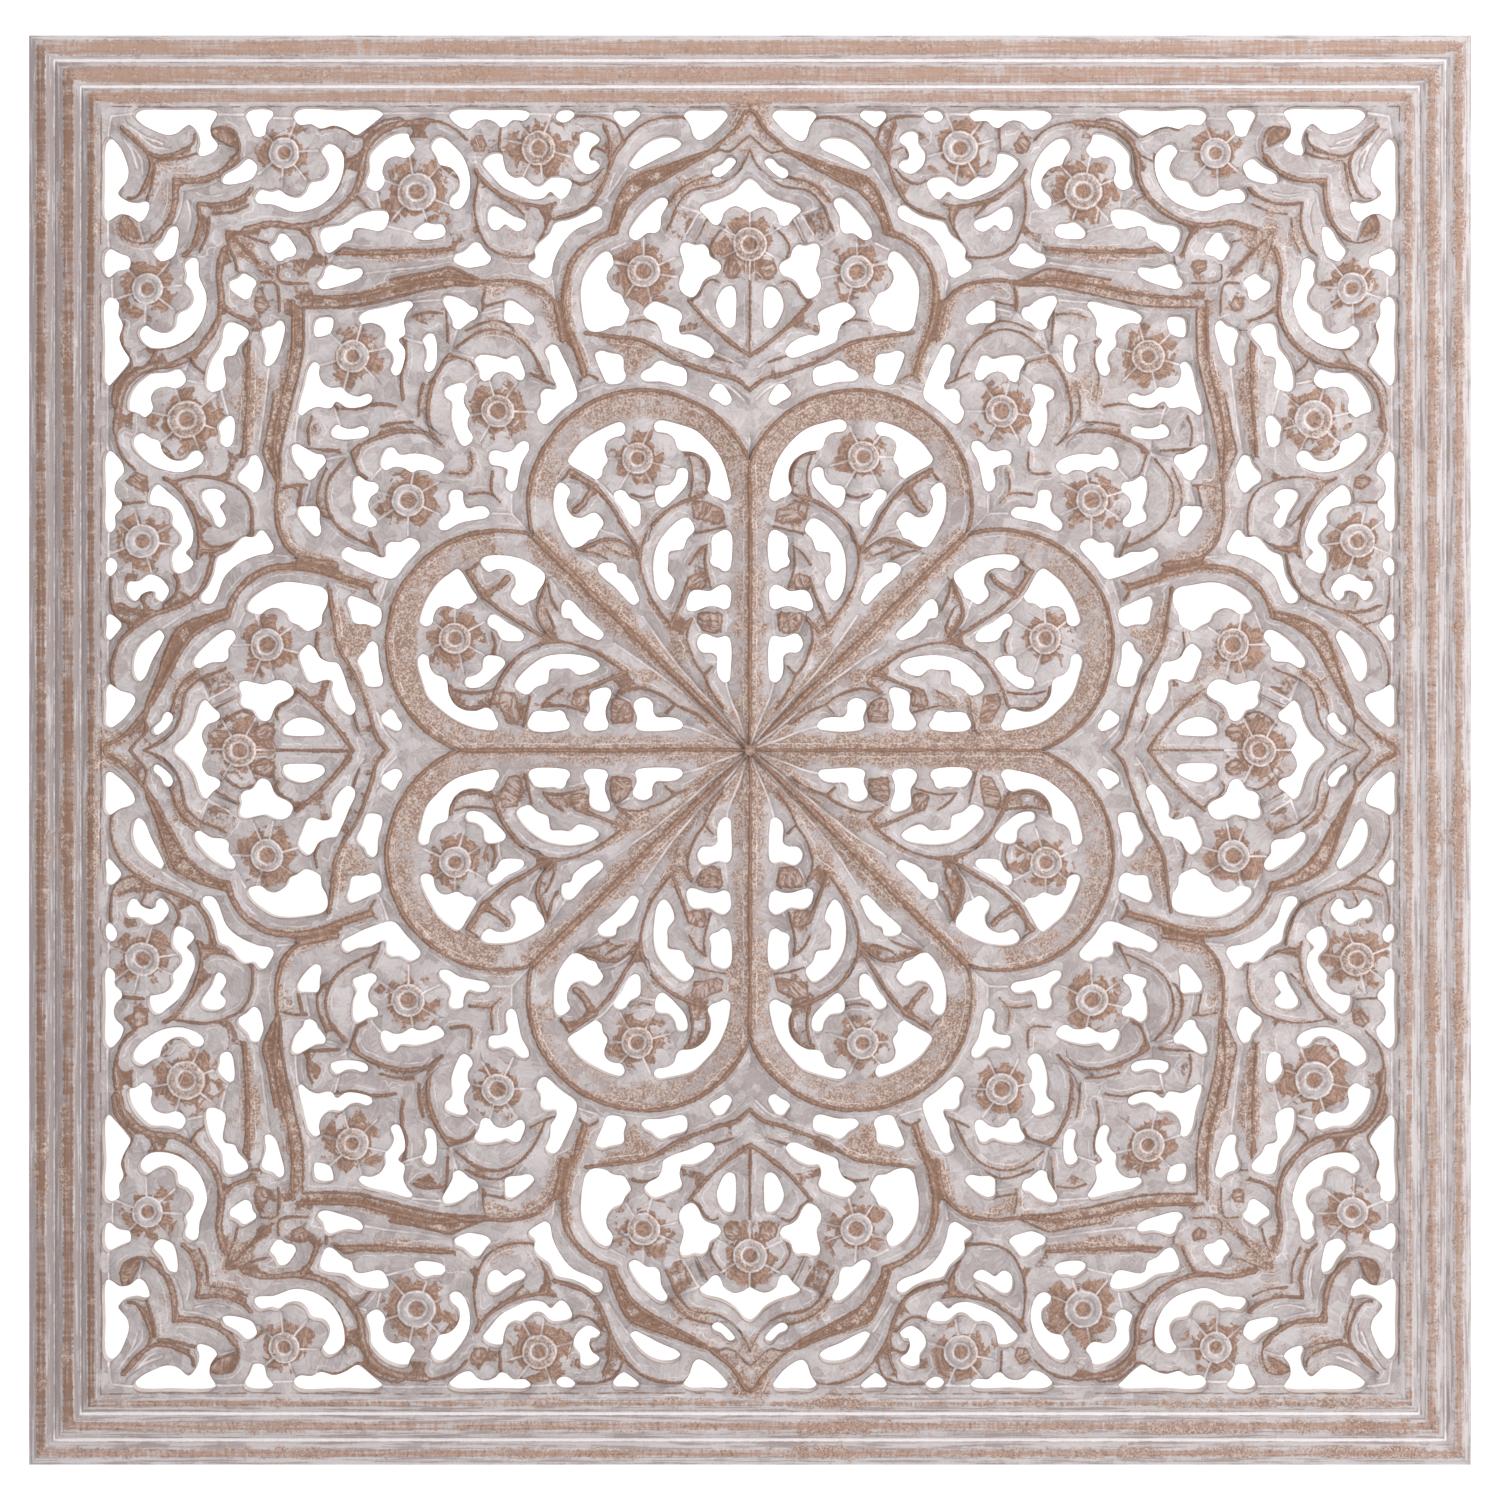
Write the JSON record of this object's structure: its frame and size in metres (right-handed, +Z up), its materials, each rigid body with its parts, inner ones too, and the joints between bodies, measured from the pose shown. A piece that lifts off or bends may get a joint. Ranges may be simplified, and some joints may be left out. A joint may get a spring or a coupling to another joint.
{
  "type": "carved fretwork grille panel",
  "caption": "Square carved board with a reeded border, pierced all over with a mirrored pattern of petal rings, ogee bands, scrolls and flowers.",
  "frame": {"origin": "centre of the flat back face of the board", "axes": "-Y towards the viewer of the carved face, +Y into the wall, +X to the viewer's right, +Z up"},
  "size_m": [0.914, 0.018, 0.906],
  "materials": {
    "washed_board": "fibreboard with a thin, worn, greyish white wash, sanded back to brown on its crests"
  },
  "bodies": {
    "root": {"fretwork_panel": "washed_board"}
  },
  "joints": []
}
